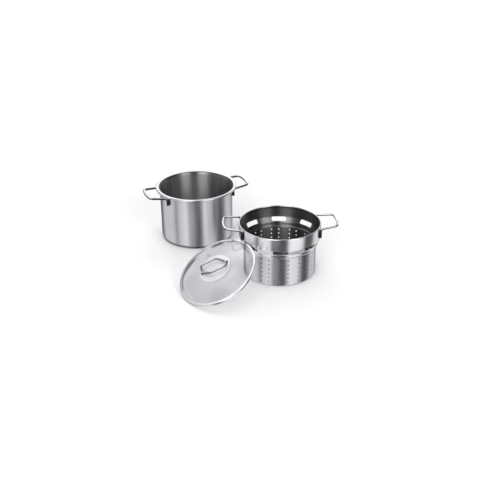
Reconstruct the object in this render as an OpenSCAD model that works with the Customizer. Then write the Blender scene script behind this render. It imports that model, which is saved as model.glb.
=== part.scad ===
// Pasta pot: a flared stainless pot, its perforated pasta insert and a glass lid that fits both.
// Millimetres. The origin is the centre of the pot's base on the floor, X to the right,
// Y away from the viewer and Z up. The insert stands beside the pot and the lid leans on it.

/* [Pot] */
// Inside diameter of the pot
pot_d = 240; // [200:2:280]
// Height of the pot, floor to the top of the lip
pot_h = 181; // [140:1:240]
// Thickness of the steel sheet of the pot and the insert
sheet_t = 1; // [0.8:0.1:1.2]
// Inside radius of the bend between the pot's bottom and its wall
pot_corner_r = 6; // [4:0.5:10]
// Width of the flared lip, measured out from the inside of the wall
lip_w = 15; // [11:0.5:18]
// Radius of the flare from wall to lip
flare_r = 9; // [6:0.5:10]
// Height of the lip's rolled outer edge
lip_drop = 4.5; // [4:0.25:7]
// Height of the bonded base under the pot
base_h = 6.5; // [5.5:0.25:9]
// How far the base stays inside the pot's outer wall
base_inset = 2.5; // [2:0.25:5]
// Thickness of the steel cap that wraps the base's aluminium core
cap_t = 0.8; // [0.6:0.1:1.2]

/* [Insert] */
// Height of the insert, floor to the top of its rim
insert_h = 164; // [150:1:200]
// Free gap all round between the insert's wall and the inside of the pot
insert_gap = 8; // [6:0.5:10]
// How far the insert's upper band stands out past the inside of the pot
band_over = 6; // [4.5:0.25:8]
// Height at which the upper band starts
band_z = 124; // [120:1:130]
// Height of the step under the shoulder
step_z = 95; // [93:0.5:96]
// Width of the step between the perforated wall and the bead above it
step_w = 5; // [3.5:0.25:5.5]
// Width of the rim's inward roll
roll_w = 4; // [3.5:0.25:5]
// Where the insert stands, to the right of the pot
insert_x = 267.4; // [260:0.2:340]
// Where the insert stands, away from the pot's centre
insert_y = -264.1; // [-340:0.1:-255]

/* [Perforation] */
// Number of paired hole columns round the wall
column_pairs = 12; // [8:1:14]
// Angle between the two columns of a pair
pair_angle = 12; // [8:0.1:14]
// Turn of the column pattern about the insert's axis
column_turn = 4.5; // [0:0.5:30]
// Holes in one column
hole_rows = 6; // [4:1:6]
// Spacing of the holes up the wall
hole_pitch = 14.4; // [12:0.1:14.4]
// Diameter of a hole
hole_d = 4.4; // [3:0.1:6]
// Number of hole rings in the bottom
bottom_rings = 4; // [2:1:4]
// Spacing of the rings in the bottom
ring_pitch = 22; // [18:0.5:23]
// Number of steam slots in the shoulder
slot_count = 8; // [6:1:10]
// Angle that one steam slot spans
slot_angle = 21; // [14:0.5:24]
// Turn of the slot pattern about the insert's axis
slot_turn = -1.5; // [-20:0.5:20]

/* [Side handles] */
// Diameter of the pot handles' wire
pot_wire_d = 8; // [6:0.5:9]
// Diameter of the insert handles' wire
insert_wire_d = 7; // [5:0.5:8]
// Half the distance between a handle's legs on the wall
leg_half = 52; // [44:1:60]
// Half the width of the grip
grip_half = 42; // [36:1:50]
// Free finger room between the pot's wall and a grip
pot_finger_room = 44; // [32:1:50]
// Free finger room between the insert's band and a grip
insert_finger_room = 40; // [32:1:50]
// How far the grip bows out in its middle
grip_bow = 6; // [2:0.5:10]
// Radius of the bend in the middle of the grip
grip_mid_r = 120; // [90:5:160]
// How far the grip stands above the tops of the legs
grip_rise = 5; // [3:0.5:12]
// Length of a pot handle's leg along the wall
pot_leg_h = 24; // [16:1:30]
// Length of an insert handle's leg along the band
insert_leg_h = 29; // [18:1:32]
// How far the top of a pot handle's leg lies under the pot's lip
pot_leg_drop = 13; // [12:0.5:20]
// How far the top of an insert handle's leg lies under the insert's rim
insert_leg_drop = 4; // [4:0.5:10]
// Direction in which the pot's handles point
pot_handle_turn = 20; // [0:1:30]
// Direction in which the insert's handles point
insert_handle_turn = 2; // [-8:1:8]

/* [Lid] */
// How far the lid's rim reaches past the inside of the pot
lid_over = 3.5; // [3:0.25:5]
// Gap between the lid's skirt and the inside of the pot
skirt_gap = 2; // [1.5:0.25:3]
// Depth of the skirt under the lid's rim
skirt_h = 7; // [4:0.5:9]
// Thickness of the steel strip of the lid's rim
strip_t = 0.6; // [0.5:0.1:0.8]
// Thickness of the glass
glass_t = 4; // [3:0.25:5]
// Height of the glass dome, rim to apex, along its outer face
dome_h = 21; // [18:0.5:28]
// Radius of the glass dome
dome_r = 497; // [440:1:600]
// Diameter of the steel plate on the glass
plate_d = 100; // [94:1:110]
// Thickness of the steel plate
plate_t = 1.2; // [0.8:0.1:1.6]
// Thickness of the silicone gasket under the plate
gasket_t = 0.8; // [0.5:0.1:1.2]
// Distance of the steam vent from the lid's centre
vent_at = 73; // [60:1:85]
// Turn of the steam vent about the lid's axis, from the line across the handle
vent_turn = 8.5; // [-20:0.5:20]
// Diameter of the steam vent's bore
vent_d = 3.5; // [2:0.1:4]
// Angle at which the lid leans
lid_tilt = 30; // [26:0.5:34]
// Direction in which the lid leans on the insert
lean_turn = 35.5; // [25:0.5:50]
// Turn of the lid's handle about the lid's axis, from the line of the lean
lid_turn = -28; // [-60:1:60]

/* [Lid handle] */
// Diameter of the lid handle's wire
lid_wire_d = 6; // [4:0.5:7]
// Half the distance between the handle's feet
foot_half = 39.5; // [32:0.5:41]
// Half the width of the loop, between the middles of its two bars
loop_half = 23.5; // [18:0.5:26]
// How far inside its own foot each bar starts
loop_in = 3.5; // [1:0.5:6]
// How far before the other foot each bar stops
loop_lead = 26; // [12:0.5:30]
// Height of the bars above the plate, middle of the wire
loop_h = 11; // [9:0.5:20]
// Diameter of a foot
foot_d = 9.5; // [8:0.25:11]
// Height of a foot above the plate
foot_h = 6.5; // [6:0.25:9]
// Diameter of the screws that hold the handle
screw_d = 4; // [3:0.25:5]

/* [Fits] */
// Gap between pieces that rest on or against one another
rest_gap = 0.1; // [0.05:0.05:0.3]
// Clearance of a screw or a rivet in its hole
hole_fit = 0.3; // [0.1:0.05:0.6]

/* [Hidden] */
$fn = 96;
step_a = 12;
pot_ri = pot_d / 2;
pot_ro = pot_ri + sheet_t;
lip_r = pot_ri + lip_w;
lip_roll = 3;
cap_r = pot_ro - base_inset;
cap_corner = 4;
insert_ro = pot_ri - insert_gap;
insert_corner = 5;
band_r = pot_ri + band_over;
bead_r = insert_ro + step_w;
bead_z0 = step_z + 4;
bead_z1 = step_z + 13;
roll_r = roll_w / 2;
punch = 5 * sheet_t;
slot_corner = 3;
slot_low = 3.5;
slot_high = 0.5;
rim_r = pot_ri + lid_over;
skirt_r = pot_ri - skirt_gap;
rim_h = glass_t + 2 * strip_t;
rim_edge_r = 1.6;
strip_lip = 6;
glass_edge_r = rim_r - rim_edge_r;
shoulder_r = skirt_r - 4;
dome_edge_r = shoulder_r - 10;
plate_r = plate_d / 2;
plate_edge_r = 1.6;
gasket_in = plate_r - 24;
gasket_out = plate_r - 3;
seal_d = 14;
seal_t = 2;
washer_t = 1;
head_d = 2 * screw_d;
head_h = 0.6 * screw_d;
bend_swell = 0.1;
bend_lap = 0.4;
weld_gap = 0.3;
STEEL = "gainsboro";
MIRROR = "whitesmoke";
RUBBER = "dimgray";

// ---- Outlines of bent sheet ----
function unit(v) = v / norm(v);
function left(v) = [-v.y, v.x];
function heading(p, i) = unit(p[i + 1] - p[i]);
function turn(p, i) = let (a = heading(p, i - 1), b = heading(p, i))
    atan2(a.x * b.y - a.y * b.x, a * b);

// Corner i of the line p, moved t to the left of the way along it
function moved(p, i, t) =
    i == 0 ? p[0] + t * left(heading(p, 0)) :
    i == len(p) - 1 ? p[i] + t * left(heading(p, i - 1)) :
    let (a = left(heading(p, i - 1)), b = left(heading(p, i))) p[i] + t * (a + b) / (1 + a * b);

// The line p with its corner i bent to the radius r, after a move of t to the left
function bent(p, r, t) = let (q = [for (i = [0 : len(p) - 1]) moved(p, i, t)])
    [for (i = [0 : len(p) - 1])
        let (a = i == 0 || i == len(p) - 1 || r[i] == 0 ? 0 : turn(p, i))
        if (a == 0) q[i]
        else let (
            side = sign(a),
            radius = r[i] - side * t,
            start = q[i] - heading(p, i - 1) * radius * tan(abs(a) / 2),
            out = -side * left(heading(p, i - 1)),
            n = max(2, ceil(abs(a) / step_a)))
            each [for (k = [0 : n]) let (w = a * k / n)
                start - radius * out + radius * [out.x * cos(w) - out.y * sin(w), out.x * sin(w) + out.y * cos(w)]]];

function reversed(p) = [for (i = [len(p) - 1 : -1 : 0]) p[i]];

// Section of a sheet of thickness t, laid on the left of the line p with bend radii r
function sheet(p, r, t) = concat(bent(p, r, 0), reversed(bent(p, r, t)));

module turned(p, r, t) {
    rotate_extrude($fn = 180) polygon(sheet(p, r, t));
}

// ---- Bent wire ----
// Straight wire from a to b
module straight(a, b, d) {
    v = b - a;
    translate(a) rotate([0, acos(v.z / norm(v)), atan2(v.y, v.x)]) cylinder(d = d, h = norm(v), $fn = 36);
}

// Wire along the points p, bent to the radius r[i] at each inner point. A bend swells the wire
// a little, and the straight lengths reach into it.
module wire(p, r, d) {
    last = len(p) - 1;
    dirs = [for (i = [0 : last - 1]) unit(p[i + 1] - p[i])];
    angles = [for (i = [0 : last]) i == 0 || i == last ? 0 : acos(dirs[i - 1] * dirs[i])];
    cut = [for (i = [0 : last]) i == 0 || i == last ? 0 : r[i] * tan(angles[i] / 2)];
    for (i = [0 : last - 1]) straight(
        p[i] + (i == 0 ? 0 : cut[i] - bend_lap) * dirs[i],
        p[i + 1] - (i == last - 1 ? 0 : cut[i + 1] - bend_lap) * dirs[i], d);
    for (i = [1 : last - 1]) {
        y = dirs[i - 1];
        z = unit(cross(dirs[i - 1], dirs[i]));
        x = cross(y, z);
        o = p[i] - cut[i] * y - r[i] * x;
        multmatrix([[x.x, y.x, z.x, o.x], [x.y, y.y, z.y, o.y], [x.z, y.z, z.z, o.z], [0, 0, 0, 1]])
            rotate_extrude(angle = angles[i], $fn = r[i] > 50 ? 300 : 72) translate([r[i], 0]) circle(d = d + bend_swell, $fn = 36);
    }
}

// Loop handle of wire d for a wall of radius wall_r, its legs' tops at the height top_z
module side_handle(wall_r, d, top_z, leg_h, finger_room) {
    leg_x = sqrt(pow(wall_r + weld_gap + d / 2, 2) - pow(leg_half, 2));
    grip_x = wall_r + finger_room + d / 2;
    grip_z = top_z + grip_rise;
    half = [[leg_x, leg_half, top_z - leg_h], [leg_x, leg_half, top_z], [grip_x, grip_half, grip_z]];
    radii = [0, d, 1.6 * d, grip_mid_r, 1.6 * d, d, 0];
    wire(concat(half, [[grip_x + grip_bow, 0, grip_z]], [for (q = reversed(half)) [q.x, -q.y, q.z]]), radii, d);
    // Weld beside each leg, from the wire to the wall
    for (s = [-1, 1]) difference() {
        translate([leg_x, s * leg_half, top_z - leg_h + d / 8]) rotate([0, 0, s * atan2(leg_half, leg_x)])
            translate([-d / 2 - d / 8, -d * 0.3, 0]) cube([d / 2 + d / 8, d * 0.6, leg_h - 1.25 * d]);
        cylinder(r = wall_r, h = 2 * top_z, center = true, $fn = 180);
    }
}

// ---- Pot ----
module pot_shell() {
    color(STEEL) turned(
        [[0, base_h], [pot_ro, base_h], [pot_ro, pot_h - sheet_t], [lip_r - sheet_t, pot_h - sheet_t],
            [lip_r - sheet_t, pot_h - lip_drop], [lip_r - sheet_t - 2, pot_h - lip_drop]],
        [0, pot_corner_r + sheet_t, flare_r - sheet_t, lip_roll - sheet_t, 0.6, 0], sheet_t);
}

cap_line = [[0, 0], [cap_r, 0], [cap_r, base_h]];
cap_bends = [0, cap_corner, 0];

module pot_base_cap() {
    color(STEEL) turned(cap_line, cap_bends, cap_t);
}

module pot_base_core() {
    color("silver") rotate_extrude($fn = 180)
        polygon(concat(bent(cap_line, cap_bends, cap_t), [[0, base_h]]));
}

module pot_handle(a) {
    color(MIRROR) rotate([0, 0, a]) side_handle(pot_ro, pot_wire_d, pot_h - pot_leg_drop,
        pot_leg_h, pot_finger_room);
}

module pot_handle_right() { pot_handle(pot_handle_turn); }
module pot_handle_left() { pot_handle(pot_handle_turn + 180); }

// ---- Insert ----
module at_insert() { translate([insert_x, insert_y, 0]) children(); }

module wall_holes() {
    for (k = [0 : column_pairs - 1], s = [-1, 1], row = [1 : hole_rows])
        rotate([0, 0, 360 / column_pairs * k + column_turn + s * pair_angle / 2])
            translate([insert_ro - punch, 0, hole_pitch * row]) rotate([0, 90, 0])
                cylinder(d = hole_d, h = 2 * punch, $fn = 24);
}

module bottom_holes() {
    cylinder(d = hole_d, h = 2 * punch, center = true, $fn = 24);
    for (ring = [1 : bottom_rings], k = [0 : 6 * ring - 1])
        rotate([0, 0, 60 / ring * k]) translate([ring_pitch * ring, 0, 0])
            cylinder(d = hole_d, h = 2 * punch, center = true, $fn = 24);
}

// Punch for one slot with rounded corners, through the shoulder
module steam_slot() {
    z0 = bead_z1 + slot_low;
    z1 = band_z + slot_high;
    half = band_r * sin(slot_angle / 2);
    corners = [[half, z1], [-half, z1], [-half, z0], [half, z0]];
    translate([bead_r - punch, 0, 0]) rotate([90, 0, 90]) linear_extrude(band_r - bead_r + 2 * punch)
        polygon([for (i = [0 : 3], k = [0 : 3]) let (
            w = 90 * i + 30 * k,
            inward = slot_corner * [-sign(corners[i].x), i < 2 ? -1 : 1])
            corners[i] + inward + slot_corner * [cos(w), sin(w)]]);
}

module insert_basket() {
    color(STEEL) at_insert() difference() {
        turned(
            [[0, 0], [insert_ro, 0], [insert_ro, step_z], [bead_r, bead_z0], [bead_r + 0.6, bead_z1],
                [band_r, band_z], [band_r, insert_h], [band_r - roll_w, insert_h], [band_r - roll_w, insert_h - 3.5]],
            [0, insert_corner + sheet_t, 2.5, 4, 5, 9, roll_r, roll_r - 0.2, 0], sheet_t);
        wall_holes();
        bottom_holes();
        for (k = [0 : slot_count - 1]) rotate([0, 0, 360 / slot_count * k + slot_turn]) steam_slot();
    }
}

module insert_handle(a) {
    color(MIRROR) at_insert() rotate([0, 0, a]) side_handle(band_r, insert_wire_d, insert_h - insert_leg_drop,
        insert_leg_h, insert_finger_room);
}

module insert_handle_right() { insert_handle(insert_handle_turn); }
module insert_handle_left() { insert_handle(insert_handle_turn + 180); }

// ---- Lid, in its own frame: rim's underside at z = 0, handle along X, vent near Y ----
// Height of the glass dome's outer face at the distance r from the axis
function dome(r) = dome_h - pow(r, 2) / (2 * dome_r);
function dome_line(r0, r1, dz) = [for (k = [0 : 8]) let (r = r0 + (r1 - r0) * k / 8) [r, dome(r) + dz]];
function zeros(n) = [for (k = [1 : n]) 0];

// Outer radius of the insert at the height z
function insert_out(z) = lookup(z, [[0, insert_ro], [step_z, insert_ro], [bead_z0, bead_r],
    [bead_z1, bead_r + 0.6], [band_z, band_r]]);

// Lays the lid on its skirt, leaning on the insert
module leaning() {
    lid_z = skirt_r * sin(lid_tilt) + skirt_h * cos(lid_tilt);
    touch_z = lid_z + (rim_r - rim_edge_r) * sin(lid_tilt) + rim_edge_r * cos(lid_tilt);
    reach = (rim_r - rim_edge_r) * cos(lid_tilt) - rim_edge_r * sin(lid_tilt) + rim_edge_r;
    away = insert_out(touch_z + rim_edge_r) + rest_gap + reach;
    translate([insert_x - away * cos(lean_turn), insert_y - away * sin(lean_turn), lid_z])
        rotate([0, 0, lean_turn]) rotate([0, -lid_tilt, 0]) rotate([0, 0, lid_turn]) children();
}

// Solid of revolution under the curve of the dome, moved up by dz
module under_dome(r, dz) {
    rotate_extrude($fn = 180) polygon(concat([[0, -20]], dome_line(0, r, dz), [[r, -20]]));
}

module at_feet() { for (x = [-foot_half, foot_half]) translate([x, 0, 0]) children(); }
module at_foot(s) { translate([s * foot_half, 0, 0]) children(); }

// Places children on the dome at the vent, square to the glass
module at_vent() {
    rotate([0, 0, vent_turn]) translate([0, vent_at, dome(vent_at)])
        rotate([-asin(vent_at / dome_r), 0, 0]) children();
}

glass_line = concat(dome_line(0, dome_edge_r, -glass_t), [[shoulder_r, strip_t], [glass_edge_r, strip_t]]);
glass_bends = concat(zeros(8), [12, 10, 0]);

module lid_glass() {
    color("lightgray", 0.4) leaning() difference() {
        turned(glass_line, glass_bends, glass_t);
        at_feet() cylinder(d = screw_d + 2 * hole_fit + 2, h = 100, center = true);
        at_vent() cylinder(d = vent_d + 2 + 2 * hole_fit, h = 20, center = true);
    }
}

module lid_rim() {
    color(MIRROR) leaning() turned(
        [[skirt_r, -skirt_h], [skirt_r, 0], [rim_r, 0], [rim_r, rim_h], [rim_r - strip_lip, rim_h]],
        [0, 0.4, rim_edge_r, rim_edge_r, 0], strip_t);
}

// Rivet tube with a flange above and below the glass
module lid_vent_eyelet() {
    bore = vent_d / 2;
    tube = bore + 1;
    flange = tube + 2;
    color(MIRROR) leaning() at_vent() rotate_extrude() polygon([
        [bore, -glass_t - 0.8], [flange, -glass_t - 0.8], [flange, -glass_t - rest_gap], [tube, -glass_t - rest_gap],
        [tube, rest_gap], [flange, rest_gap], [flange - 0.3, 0.9], [bore + 0.4, 0.9], [bore, 0.5]]);
}

module lid_gasket() {
    line = dome_line(gasket_in, gasket_out, 0);
    color(RUBBER) leaning() difference() {
        turned(line, zeros(len(line)), gasket_t);
        at_feet() cylinder(d = screw_d + 2 * hole_fit, h = 100, center = true);
    }
}

module lid_plate() {
    low = dome(plate_r) + rest_gap;
    line = concat(dome_line(0, plate_r - plate_t, gasket_t), [[plate_r - plate_t, low]]);
    color(MIRROR) leaning() difference() {
        turned(line, concat(zeros(8), [plate_edge_r - plate_t, 0]), plate_t);
        at_feet() cylinder(d = screw_d + 2 * hole_fit, h = 100, center = true);
    }
}

// Two bars on two drilled feet: each bar leaves one foot squarely and reaches the other on a slant
module lid_handle() {
    top = dome(foot_half) + gasket_t + plate_t;
    foot_z = top + foot_h - lid_wire_d / 2;
    bar_z = top + loop_h;
    bar = [[-foot_half, 0, foot_z], [loop_in - foot_half, loop_half, bar_z],
        [foot_half - loop_lead, loop_half, bar_z], [foot_half, 0, foot_z]];
    color(MIRROR) leaning() difference() {
        union() {
            for (a = [0, 180]) rotate([0, 0, a]) wire(bar, [0, 7, 9, 0], lid_wire_d);
            at_feet() translate([0, 0, top - 2]) cylinder(d = foot_d, h = foot_h + 2);
        }
        under_dome(plate_r, gasket_t + plate_t);
        at_feet() cylinder(d = screw_d, h = top + foot_h - 2);
    }
}

// Pieces under the glass at one foot, stacked down from the dome's inner face
under_z = dome(foot_half) - glass_t;

module lid_seal(s) {
    color(RUBBER) leaning() difference() {
        at_foot(s) translate([0, 0, under_z - seal_t]) cylinder(d = seal_d, h = seal_t + 3);
        turned(glass_line, glass_bends, 3 * glass_t);
        at_foot(s) cylinder(d = screw_d + 2 * hole_fit, h = 100, center = true);
    }
}

module lid_washer(s) {
    color(STEEL) leaning() at_foot(s) translate([0, 0, under_z - seal_t - washer_t]) difference() {
        cylinder(d = seal_d - 1, h = washer_t);
        cylinder(d = screw_d + 2 * hole_fit, h = 10, center = true);
    }
}

module lid_screw(s) {
    seat = under_z - seal_t - washer_t;
    tip = dome(foot_half) + gasket_t + plate_t + foot_h - 3;
    color(STEEL) leaning() at_foot(s) difference() {
        union() {
            translate([0, 0, seat - head_h]) cylinder(d1 = head_d - 1.2, d2 = head_d, h = head_h / 2);
            translate([0, 0, seat - head_h / 2]) cylinder(d = head_d, h = head_h / 2);
            translate([0, 0, seat - 0.01]) cylinder(d = screw_d, h = tip - seat);
        }
        for (a = [0, 90]) rotate([0, 0, a])
            translate([-head_d / 4, -0.5, seat - head_h - 1]) cube([head_d / 2, 1, 1 + head_h * 0.55]);
    }
}

module lid_seal_upper() { lid_seal(1); }
module lid_seal_lower() { lid_seal(-1); }
module lid_washer_upper() { lid_washer(1); }
module lid_washer_lower() { lid_washer(-1); }
module lid_screw_upper() { lid_screw(1); }
module lid_screw_lower() { lid_screw(-1); }

pot_shell();
pot_base_core();
pot_base_cap();
pot_handle_right();
pot_handle_left();
insert_basket();
insert_handle_right();
insert_handle_left();
lid_glass();
lid_rim();
lid_vent_eyelet();
lid_plate();
lid_gasket();
lid_handle();
lid_seal_upper();
lid_seal_lower();
lid_washer_upper();
lid_washer_lower();
lid_screw_upper();
lid_screw_lower();
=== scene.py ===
"""Looks of a pasta pot: a flared steel pot, its perforated insert and a domed glass lid.

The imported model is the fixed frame. Each sub-assembly is a class that holds its sizes in
millimetres, models its pieces with bmesh operators and dresses them.
"""

import logging
import math
from collections.abc import Iterable, Sequence
from dataclasses import dataclass, field
from enum import Enum
from typing import Union

import bmesh
import bpy
from bmesh.types import BMEdge, BMesh, BMFace, BMVert
from mathutils import Matrix, Vector


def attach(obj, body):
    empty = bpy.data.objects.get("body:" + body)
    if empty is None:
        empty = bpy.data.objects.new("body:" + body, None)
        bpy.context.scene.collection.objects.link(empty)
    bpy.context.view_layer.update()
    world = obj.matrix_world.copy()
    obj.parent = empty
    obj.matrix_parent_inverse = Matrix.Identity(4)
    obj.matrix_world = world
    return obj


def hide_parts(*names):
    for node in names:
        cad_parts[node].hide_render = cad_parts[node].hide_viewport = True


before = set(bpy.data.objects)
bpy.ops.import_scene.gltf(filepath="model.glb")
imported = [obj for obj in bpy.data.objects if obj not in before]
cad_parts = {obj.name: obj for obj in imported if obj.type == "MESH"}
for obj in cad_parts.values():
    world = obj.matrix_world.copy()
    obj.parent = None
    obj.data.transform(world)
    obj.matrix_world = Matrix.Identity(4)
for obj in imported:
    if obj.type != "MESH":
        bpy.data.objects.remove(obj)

log = logging.getLogger("pasta_pot")
MM = 0.001
BODY = "root"
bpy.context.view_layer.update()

Point = tuple[float, float]
Place = tuple[float, float, float]
Span = tuple[float, float]


class Slot(Enum):
    """Names of the record's material slots."""

    SATIN_STEEL = "satin_steel"
    POLISHED_STEEL = "polished_steel"
    CLEAR_GLASS = "clear_glass"


# Shader graphs
class Value:
    """A number socket of a node graph, with Python's operators as Math nodes."""

    def __init__(self, graph: "Graph", socket: bpy.types.NodeSocket) -> None:
        """Wraps one output socket.

        Args:
            graph: The graph that the socket belongs to.
            socket: The output that the value comes from.
        """
        self.graph = graph
        self.socket = socket

    def __add__(self, other: "Number") -> "Value":
        """Sum."""
        return self.graph.math("ADD", self, other)

    __radd__ = __add__

    def __sub__(self, other: "Number") -> "Value":
        """Difference."""
        return self.graph.math("SUBTRACT", self, other)

    def __rsub__(self, other: "Number") -> "Value":
        """Difference, taken from a number."""
        return self.graph.math("SUBTRACT", other, self)

    def __mul__(self, other: "Number") -> "Value":
        """Product."""
        return self.graph.math("MULTIPLY", self, other)

    __rmul__ = __mul__

    def __truediv__(self, other: "Number") -> "Value":
        """Quotient."""
        return self.graph.math("DIVIDE", self, other)

    def __rtruediv__(self, other: "Number") -> "Value":
        """Quotient of a number by this value."""
        return self.graph.math("DIVIDE", other, self)

    def root(self) -> "Value":
        """Square root."""
        return self.graph.math("SQRT", self)

    def ramp(self, low: float, high: float) -> "Value":
        """Smooth step.

        Args:
            low: Value that gives 0.
            high: Value that gives 1.

        Returns:
            0 to 1, eased at both ends.
        """
        return self.graph.value("ShaderNodeMapRange", {"interpolation_type": "SMOOTHSTEP"},
                                {"Value": self, "From Min": low, "From Max": high})


Number = Union[Value, float]
Plug = Union[Value, bpy.types.NodeSocket, float, Sequence[float]]


class Graph:
    """The nodes of one material or world."""

    def __init__(self, tree: bpy.types.NodeTree) -> None:
        """Starts from an empty tree.

        Args:
            tree: The node tree to fill.
        """
        self.tree = tree
        tree.nodes.clear()

    def node(self, kind: str, settings: dict[str, object] | None = None,
             inputs: dict[str | int, Plug] | None = None) -> bpy.types.Node:
        """Adds one node.

        Args:
            kind: The node's type.
            settings: Its own settings, set first.
            inputs: Values or links of its sockets, by name or number.

        Returns:
            The node.
        """
        made = self.tree.nodes.new(kind)
        for key, setting in (settings or {}).items():
            setattr(made, key, setting)
        for key, plug in (inputs or {}).items():
            if isinstance(plug, Value):
                self.tree.links.new(plug.socket, made.inputs[key])
            elif isinstance(plug, bpy.types.NodeSocket):
                self.tree.links.new(plug, made.inputs[key])
            else:
                made.inputs[key].default_value = plug
        return made

    def value(self, kind: str, settings: dict[str, object] | None = None,
              inputs: dict[str | int, Plug] | None = None, output: str | int = 0) -> Value:
        """Adds one node and wraps the number that it gives.

        Args:
            kind: The node's type.
            settings: Its own settings.
            inputs: Values or links of its sockets.
            output: Which output is meant.

        Returns:
            The output as a value.
        """
        return Value(self, self.node(kind, settings, inputs).outputs[output])

    def math(self, operation: str, *terms: Number) -> Value:
        """Adds a Math node.

        Args:
            operation: The node's operation.
            terms: Its inputs, in order.

        Returns:
            The result.
        """
        return self.value("ShaderNodeMath", {"operation": operation}, dict(enumerate(terms)))

    def noise(self, vector: Plug, scale: float, detail: float = 2.0, rough: float = 0.5) -> Value:
        """Adds a noise pattern.

        Args:
            vector: Where the pattern is read.
            scale: Its cells per unit.
            detail: Octaves.
            rough: Weight of each further octave.

        Returns:
            0 to 1.
        """
        return self.value("ShaderNodeTexNoise", None,
                          {"Vector": vector, "Scale": scale, "Detail": detail, "Roughness": rough}, "Fac")

    def place(self) -> bpy.types.NodeSocket:
        """Object coordinates."""
        return self.node("ShaderNodeTexCoord").outputs["Object"]

    def split(self, vector: Plug) -> tuple[Value, Value, Value]:
        """Takes a vector apart.

        Args:
            vector: The vector.

        Returns:
            Its X, Y and Z.
        """
        parts = self.node("ShaderNodeSeparateXYZ", None, {0: vector}).outputs
        return Value(self, parts[0]), Value(self, parts[1]), Value(self, parts[2])

    def join(self, x: Number, y: Number, z: Number) -> bpy.types.NodeSocket:
        """Makes a vector.

        Args:
            x: First number.
            y: Second number.
            z: Third number.

        Returns:
            The vector.
        """
        return self.node("ShaderNodeCombineXYZ", None, {0: x, 1: y, 2: z}).outputs[0]

    def blend(self, share: Number, first: Plug, second: Plug) -> bpy.types.NodeSocket:
        """Mixes two colours.

        Args:
            share: 0 gives the first, 1 the second.
            first: A colour.
            second: A colour.

        Returns:
            The mixed colour.
        """
        return self.node("ShaderNodeMix", {"data_type": "RGBA"}, {0: share, 6: first, 7: second}).outputs[2]

    def bump(self, height: Number, depth: float, strength: float) -> bpy.types.NodeSocket:
        """Turns a height into a normal.

        Args:
            height: 0 to 1.
            depth: Depth that 1 stands for, in metres.
            strength: Share of it that shows.

        Returns:
            The normal.
        """
        return self.node("ShaderNodeBump", None,
                         {"Strength": strength, "Distance": depth, "Height": height}).outputs[0]


def grey(level: float, cool: float = 0.0) -> tuple[float, float, float, float]:
    """A colour near grey.

    Args:
        level: How light it is.
        cool: How far blue stands above green, with red halfway down.

    Returns:
        The colour with full alpha.
    """
    return level * (1 + cool * 0.15), level, level * (1 + cool), 1.0


# Finishes
class Finish:
    """A surface that builds its own material."""

    name: str

    def draw(self, graph: Graph) -> bpy.types.NodeSocket:
        """Adds the finish's nodes.

        Args:
            graph: The material's graph.

        Returns:
            The shader.
        """
        raise NotImplementedError

    def material(self) -> bpy.types.Material:
        """Makes the material, or gives the one that was made before.

        Returns:
            The material.
        """
        made = bpy.data.materials.get(self.name)
        if made is None:
            made = bpy.data.materials.new(self.name)
            made.use_nodes = True
            graph = Graph(made.node_tree)
            graph.node("ShaderNodeOutputMaterial", None, {"Surface": self.draw(graph)})
        return made


@dataclass(frozen=True)
class TurnedSteel(Finish):
    """Stainless steel with polishing lines round an upright axis.

    Above the heights polished_from the surface is bright, and below them it is satin; the
    bright band's lighter tone is partly painted highlight. On faces turned to the axis, under
    rim_z, the inside factor darkens the colour with painted shade. From deep[0] to deep[1]
    below rim_z that painted shade deepens to the deep share of it.
    """

    name: str
    axis: Point
    satin: float = 0.34
    bright: float = 0.14
    polished_from: Span = (9.0, 10.0)
    level: float = 0.62
    bright_level: float = 0.84
    lines: float = 0.5
    spread: float = 0.92
    inside_shade: float = 1.0
    inside_rough: float = 0.12
    rim_z: float = 170.0
    rim_fade: float = 0.4
    deep: Span = (9.0, 2.0)
    deep_shade_share: float = 0.45

    def draw(self, graph: Graph) -> bpy.types.NodeSocket:
        """Adds the finish's nodes.

        Args:
            graph: The material's graph.

        Returns:
            The shader.
        """
        x, y, z = graph.split(graph.place())
        x, y = x - self.axis[0] * MM, y - self.axis[1] * MM
        across = (x * x + y * y).root() + z
        fine = graph.noise(graph.join(x * 14, y * 14, across * 2600), 1.0, 3.0, 0.6)
        wide = graph.noise(graph.join(x * 9, y * 9, across * 210), 1.0, 2.0)
        smudge = graph.noise(graph.join(x, y, z), 22.0, 3.0, 0.55)
        bright = z.ramp(self.polished_from[0] * MM, self.polished_from[1] * MM)
        lines = (fine - 0.5) * (1 - bright * 0.85) * self.lines
        rough = self.satin + (self.bright - self.satin) * bright
        rough = rough + lines * 0.22 + (wide - 0.5) * 0.05 + (smudge - 0.5) * 0.06
        shade = graph.blend(0.5 + lines * 0.9 + (wide - 0.5) * 0.5,
                            grey(self.level * 0.9, 0.075), grey(self.level * 1.1, 0.06))
        # Painted highlight in part: the polished band is lifted to a lighter tone.
        shade = graph.blend(bright, shade, grey(self.bright_level, 0.05))
        # Painted shade: faces turned to the axis under the rim darken, darker still in a band just under the
        # rim.
        if self.inside_shade != 1.0:
            nx, ny, nz = graph.split(graph.node("ShaderNodeNewGeometry").outputs["Normal"])
            inward = (x * nx + y * ny) / (x * x + y * y + 1e-6).root() - nz * 0.3
            rim = z.ramp((self.rim_z - self.rim_fade) * MM, (self.rim_z + self.rim_fade) * MM)
            inner = (0 - inward).ramp(0.0, 0.15) * (1 - rim)
            depth = z.ramp((self.rim_z - self.deep[0]) * MM, (self.rim_z - self.deep[1]) * MM)
            dark = self.level * self.inside_shade
            cavity_shade = graph.blend(depth, grey(dark, 0.02), grey(dark * self.deep_shade_share, 0.02))
            shade = graph.blend(inner, shade, cavity_shade)
            rough = rough + inner * self.inside_rough
        return graph.node("ShaderNodeBsdfPrincipled", None, {
            "Base Color": shade, "Metallic": 1.0, "Roughness": rough,
            "Anisotropic": self.spread, "Anisotropic Rotation": 0.25,
            "Normal": graph.bump(fine * (1 - bright * 0.9), 0.00002, 0.35)}).outputs[0]


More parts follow.
